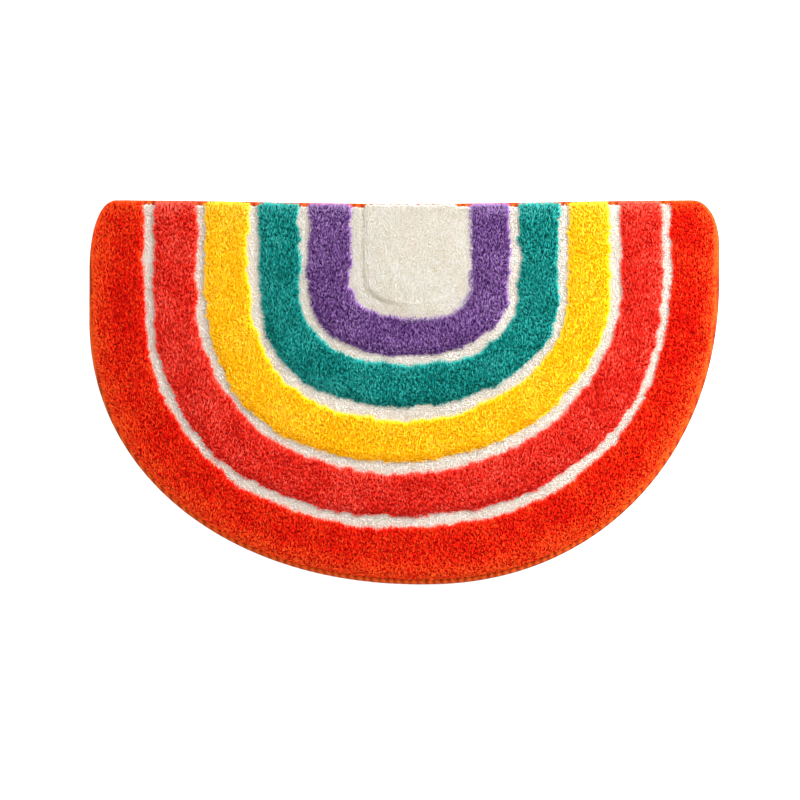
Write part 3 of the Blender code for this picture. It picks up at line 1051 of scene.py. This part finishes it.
@dataclass
class Pile:
    """The whole of the cut pile: five colour bands, the channels between them and the patch.

    Heights are those of the ground, so the tufts' own height comes on top.
    """

    band_top: float = 13.6 * MM
    channel_top: float = 9.0 * MM
    patch_top: float = 12.4 * MM
    rim_foot: float = 3.9 * MM
    band_inset: float = 3.0 * MM
    rim_inset: float = 1.2 * MM
    channel_overlap: float = 5.0 * MM
    channel_hem: float = 3.4 * MM

    def band(self, colour: str, yarn: CutPileYarn, outer: str, inner: str, seed: int) -> PileStrip:
        """One colour band between two arches."""
        at_rim = outer == "rim"
        return PileStrip(
            name=f"{colour}_pile",
            outer=outer,
            inner=inner,
            yarn=yarn,
            tufting=Tufting(seed=seed),
            top=self.band_top,
            outer_foot=self.rim_foot if at_rim else self.channel_top - 1 * MM,
            inner_foot=self.channel_top - 1 * MM,
            outer_inset=self.rim_inset if at_rim else self.band_inset,
            inner_inset=self.band_inset,
            outer_flare=-0.15 if at_rim else 0.05,
            inner_flare=0.05,
            straight_inset=-1.1 * MM,
            # painted highlight along the straight edge and, on the outer band, along the rim
            painted_edge_light=1.0,
            painted_rim_reach=26 * MM if at_rim else 0.0,
            ragged=4.4 * MM,
        )

    def channel(self, name: str, outer: str, inner: str, seed: int) -> PileStrip:
        """One low cream channel between two bands, with hems that run in under them."""
        return PileStrip(
            name=f"cream_channel_{name}",
            outer=outer,
            inner=inner,
            yarn=LOW_CREAM,
            tufting=Tufting(
                spacing=1.3 * MM,
                length=4.8 * MM,
                width=2.2 * MM,
                lean=0.40,
                scatter=0.5,
                nap=0.1,
                clump=4 * MM,
                peak=0.22,
                seed=seed,
            ),
            top=self.channel_top,
            outer_foot=self.channel_top,
            inner_foot=self.channel_top,
            outer_inset=-self.channel_overlap,
            inner_inset=-self.channel_overlap,
            hem=self.channel_hem,
        )

    def patch(self) -> PileStrip:
        """The cream patch in the middle, a pad that is higher than the channel round it."""
        return PileStrip(
            name="cream_patch",
            outer="patch_edge",
            inner="middle",
            yarn=CREAM,
            tufting=Tufting(
                spacing=1.2 * MM,
                length=6.0 * MM,
                width=2.0 * MM,
                lean=0.10,
                scatter=0.15,
                nap=0.15,
                clump=6 * MM,
                peak=0.02,
                seed=31,
            ),
            top=self.patch_top,
            outer_foot=self.channel_top,
            inner_foot=self.patch_top,
            outer_inset=0.5 * MM,
            inner_inset=0.0,
            outer_flare=-0.15,
            straight_inset=-2.4 * MM,
            straight_ragged=3.2 * MM,
            crease=Crease(Side.OUTER, self.patch_top, self.patch_top),
            shoulder=4.5 * MM,
            row_gap=2.5 * MM,
            ragged=1.8 * MM,
            ragged_scale=9.0 * MM,
            furrow=1.4 * MM,
            closes_in_middle=True,
        )

    def creased_channel(self) -> PileStrip:
        """The channel round the patch, which ends in the crease at the patch's foot."""
        strip = self.channel("violet_patch", "violet_inner", "patch_edge", 25)
        strip.underlap = 5.0 * MM
        strip.inner_inset = -strip.underlap
        strip.inner_foot = self.channel_top - 1 * MM
        strip.crease = Crease(Side.INNER, self.patch_top, self.patch_top, stand_back=0.0)
        strip.tufting = replace(self.patch().tufting, seed=25)
        strip.top = self.channel_top - 1 * MM
        strip.yarn = CREAM
        strip.shoulder = 4.0 * MM
        strip.hem = 0.0
        strip.row_gap = 3.0 * MM
        return strip

    def strips(self) -> list[PileStrip]:
        """Every strip, from the rim to the middle."""
        return [
            self.band("scarlet", SCARLET, "rim", "scarlet_inner", 11),
            self.channel("scarlet_coral", "scarlet_inner", "coral_outer", 21),
            self.band("coral", CORAL, "coral_outer", "coral_inner", 12),
            self.channel("coral_yellow", "coral_inner", "yellow_outer", 22),
            self.band("yellow", YELLOW, "yellow_outer", "yellow_inner", 13),
            self.channel("yellow_teal", "yellow_inner", "teal_outer", 23),
            self.band("teal", TEAL, "teal_outer", "teal_inner", 14),
            self.channel("teal_violet", "teal_inner", "violet_outer", 24),
            self.band("violet", VIOLET, "violet_outer", "violet_inner", 15),
            self.creased_channel(),
            self.patch(),
        ]

    def build(self, plan: RugPlan, tree: TuftingTree) -> list[bpy.types.Object]:
        """Builds every strip."""
        return [strip.build(plan, tree) for strip in self.strips()]


@dataclass
class Backing:
    """The backing cloth: flat underneath, with a thin edge that the serging wraps."""

    top: float = 2.4 * MM
    edge_low: float = 1.6 * MM
    edge_high: float = 3.8 * MM
    tongue: float = 4.0 * MM
    step_in: float = 2.0 * MM
    finish: WovenBacking = WovenBacking()

    def build(self, plan: RugPlan) -> bpy.types.Object:
        """Builds the cloth as one closed thin sheet."""
        loop = plan.foot_loop()
        sections = (
            (0.0, 0.0),
            (0.0, self.edge_low),
            (self.tongue, self.edge_low),
            (self.tongue, self.edge_high),
            (0.0, self.edge_high),
            (-self.step_in, self.top),
        )
        bm = bmesh.new()
        rings = swept_rings(bm, plan, loop, sections)
        bm.faces.new(rings[0])
        bm.faces.new(rings[-1])
        piece = object_of(bm, "backing_cloth", self.finish.make())
        return finish_piece(piece, Node.TUFTED_BODY)


def swept_rings(
    bm: bmesh.types.BMesh,
    plan: RugPlan,
    loop: list[Vector],
    sections: tuple[tuple[float, float], ...],
    closed: bool = False,
) -> list[list[bmesh.types.BMVert]]:
    """Sweeps a section round a closed loop.

    Args:
        bm: The mesh that gets the rings and the quads between them.
        plan: The rug's plan.
        loop: The loop, anticlockwise seen from above.
        sections: The section's corners, as distance out from the loop and height.
        closed: Whether the last corner joins the first.

    Returns:
        The rings of vertices.
    """
    rings = []
    for out, up in sections:
        places = [plan.placed(p) for p in plan.moved_out(loop, out)]
        rings.append([bm.verts.new((p.x, p.y, up)) for p in places])
    pairs = list(zip(rings, rings[1:] + rings[:1] if closed else rings[1:]))
    for first, second in pairs:
        for i in range(len(loop)):
            j = (i + 1) % len(loop)
            bm.faces.new((first[i], first[j], second[j], second[i]))
    return rings


def object_of(bm: bmesh.types.BMesh, name: str, material: bpy.types.Material) -> bpy.types.Object:
    """Makes an object of a finished mesh."""
    bmesh.ops.recalc_face_normals(bm, faces=bm.faces)
    mesh = bpy.data.meshes.new(name)
    bm.to_mesh(mesh)
    bm.free()
    mesh.materials.append(material)
    mesh.shade_smooth()
    mesh.set_sharp_from_angle(angle=SHARP_FROM)
    piece = bpy.data.objects.new(name, mesh)
    bpy.context.scene.collection.objects.link(piece)
    return piece


class SergingTree(PieceTree):
    """The geometry nodes that wrap slanted stitches round an edge that follows a path."""

    NAME = "serging_stitches"
    START = "Path"
    SIZES = ("Pitch", "Slant", "Out", "Up", "Half Out", "Half Up", "Yarn Width", "Yarn Thickness")
    STEPS = 9
    SIDES = 6
    WRAP = math.radians(152)  # how far round, from the outermost point, a stitch reaches

    def stitch(self) -> bpy.types.Node:
        """One stitch: a flattened tube bent round the edge, X along it and -Y outwards."""
        given = self.given
        ends = {"Count": self.STEPS, "Start Location": (0, 0, 0), "Offset": (1, 0, 0)}
        line = self.add("GeometryNodeMeshLine", {"mode": "END_POINTS"}, ends)
        path = self.add("GeometryNodeMeshToCurve", inputs={"Mesh": line})
        along = self.xyz(self.add("GeometryNodeInputPosition"))["X"]
        centred = self.math("SUBTRACT", 0.5, along)
        angle = self.math("MULTIPLY", centred, 2 * self.WRAP)
        half_out = self.math("MULTIPLY", given["Half Out"], self.math("COSINE", angle))
        half_up = self.math("MULTIPLY", given["Half Up"], self.math("SINE", angle))
        parts = {
            "X": self.math("MULTIPLY", centred, given["Slant"]),
            "Y": self.math("MULTIPLY", self.math("ADD", given["Out"], half_out), -1.0),
            "Z": self.math("ADD", given["Up"], half_up),
        }
        place = self.add("ShaderNodeCombineXYZ", inputs=parts)
        bent = self.add("GeometryNodeSetPosition", inputs={"Geometry": path, "Position": place})
        across = {"Curve": bent, "Normal": (1.0, 0.0, 0.0)}
        faced = self.add("GeometryNodeSetCurveNormal", {"mode": "FREE"}, across)
        circle = {"Resolution": self.SIDES, "Radius": 0.5}
        ring = self.add("GeometryNodeCurvePrimitiveCircle", inputs=circle)
        parts = {"X": given["Yarn Width"], "Y": given["Yarn Thickness"], "Z": 1.0}
        section = self.add("ShaderNodeCombineXYZ", inputs=parts)
        flat = self.add("GeometryNodeTransform", inputs={"Geometry": ring, "Scale": section})
        tube = {"Curve": faced, "Profile Curve": flat, "Fill Caps": True}
        return self.add("GeometryNodeCurveToMesh", inputs=tube)

    def repeated(self) -> bpy.types.Node:
        """The stitches, set along the path."""
        pitch = {"Curve": self.given["Path"], "Length": self.given["Pitch"]}
        spots = self.add("GeometryNodeCurveToPoints", {"mode": "LENGTH"}, pitch)
        tangent = self.xyz(spots.outputs["Tangent"])
        heading = self.math("ARCTAN2", tangent["Y"], tangent["X"])
        turn = self.add("ShaderNodeCombineXYZ", inputs={"Z": heading})
        setting = {"Points": spots, "Instance": self.stitch(), "Rotation": turn}
        return self.add("GeometryNodeInstanceOnPoints", inputs=setting)


@dataclass
class SergedEdge:
    """The yarn edge: a smooth core round the backing's edge, and close slanted stitches on it."""

    pitch: float = 2.7 * MM
    slant: float = 3.4 * MM
    out: float = 1.75 * MM
    up: float = 2.72 * MM
    half_out: float = 3.2 * MM
    half_up: float = 2.2 * MM
    yarn_width: float = 3.7 * MM
    yarn_thickness: float = 0.9 * MM
    core: tuple[tuple[float, float], ...] = (
        (0.0007, 0.0041), (0.0007, 0.0046), (0.0030, 0.0049), (0.0044, 0.0042),
        (0.0048, 0.0030), (0.0048, 0.0022), (0.0044, 0.0012), (0.0030, 0.0005),
        (0.0007, 0.0005), (0.0007, 0.0013), (0.0043, 0.0013), (0.0043, 0.0041),
    )
    finish: SergingYarn = SergingYarn()

    def path(self, places: list[Vector]) -> bpy.types.Curve:
        """The closed line that the stitches follow."""
        path = bpy.data.curves.new("serging_path", "CURVE")
        path.dimensions = "3D"
        spline = path.splines.new("POLY")
        spline.points.add(len(places) - 1)
        for spot, place in zip(spline.points, places):
            spot.co = (place.x, place.y, 0.0, 1.0)
        spline.use_cyclic_u = True
        return path

    def build(self, plan: RugPlan, tree: SergingTree) -> list[bpy.types.Object]:
        """Builds the core and its stitches."""
        yarn = self.finish.make()
        loop = plan.foot_loop()
        bm = bmesh.new()
        swept_rings(bm, plan, loop, self.core, closed=True)
        core = object_of(bm, "serging_core", yarn)
        path = self.path([plan.placed(point) for point in loop])
        stitches = tree.grown("serging_stitches", path, self, yarn)
        return [finish_piece(p, Node.SERGED_EDGE) for p in (core, stitches)]


@dataclass
class Studio:
    """A pale floor, soft light from the upper right, and the camera above the rug."""

    floor_side: float = 6.0
    floor_colour: str = "#F4F3F1"
    floor_roughness: float = 0.9
    seen_width: float = 1.014
    elevation: float = 80.0
    distance: float = 20.0
    sensor: float = 36.0
    aim: tuple[float, float] = (-0.0057, -0.010)
    key_power: float = 84.0
    key_size: float = 0.9
    key_place: tuple[float, float, float] = (1.2, 0.75, 1.45)
    fill_power: float = 13.0
    fill_size: float = 2.5
    fill_place: tuple[float, float, float] = (-1.4, -0.6, 2.2)
    sky_strength: float = 1.85

    def floor(self) -> bpy.types.Object:
        """The pale floor, which isn't part of the rug."""
        bm = bmesh.new()
        bmesh.ops.create_grid(bm, x_segments=1, y_segments=1, size=self.floor_side / 2)
        values = {"Base Color": linear(self.floor_colour), "Roughness": self.floor_roughness}
        floor = object_of(bm, "pale_floor", new_material("pale_floor", values)[0])
        return floor

    def light(self, name: str, place: tuple[float, float, float], size: float, power: float) -> None:
        """A square area light that points at the rug."""
        lamp = bpy.data.lights.new(name, "AREA")
        lamp.shape = "SQUARE"
        lamp.size = size
        lamp.energy = power
        holder = bpy.data.objects.new(name, lamp)
        holder.location = place
        holder.rotation_euler = (-Vector(place)).to_track_quat("-Z", "Y").to_euler()
        bpy.context.scene.collection.objects.link(holder)

    def camera(self) -> None:
        """The camera at the photograph's angle and framing."""
        angle = math.radians(self.elevation)
        back = Vector((0.0, -math.cos(angle), math.sin(angle)))
        lens = bpy.data.cameras.new("rug_camera")
        lens.sensor_width = self.sensor
        lens.lens = self.sensor * self.distance / self.seen_width
        holder = bpy.data.objects.new("rug_camera", lens)
        target = Vector((*self.aim, 0.0))
        holder.location = target + back * self.distance
        holder.rotation_euler = (-back).to_track_quat("-Z", "Y").to_euler()
        bpy.context.scene.collection.objects.link(holder)
        bpy.context.scene.camera = holder

    def build(self) -> None:
        """Sets the stage, the lights and the camera."""
        self.floor()
        self.light("key_light", self.key_place, self.key_size, self.key_power)
        self.light("fill_light", self.fill_place, self.fill_size, self.fill_power)
        world = bpy.data.worlds.new("soft_sky")
        world.use_nodes = True
        sky = world.node_tree.nodes["Background"]
        sky.inputs["Color"].default_value = (1.0, 1.0, 1.0, 1.0)
        sky.inputs["Strength"].default_value = self.sky_strength
        bpy.context.scene.world = world
        bpy.context.scene.view_settings.view_transform = "Standard"
        self.camera()


def corners(box: tuple[Vector, Vector]) -> list[list[float]]:
    """A box's two corners as plain lists."""
    return [list(corner) for corner in box]


def main() -> None:
    """Builds the studio and the rug."""
    logging.basicConfig(level=logging.INFO, format="%(name)s %(message)s")
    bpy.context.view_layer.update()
    plan = RugPlan()
    plan.fit_to_solids()
    Studio().build()
    backing = Backing().build(plan)
    on_backing = Pile().build(plan, TuftingTree())
    on_backing += SergedEdge().build(plan, SergingTree())


if __name__ == "__main__":
    main()
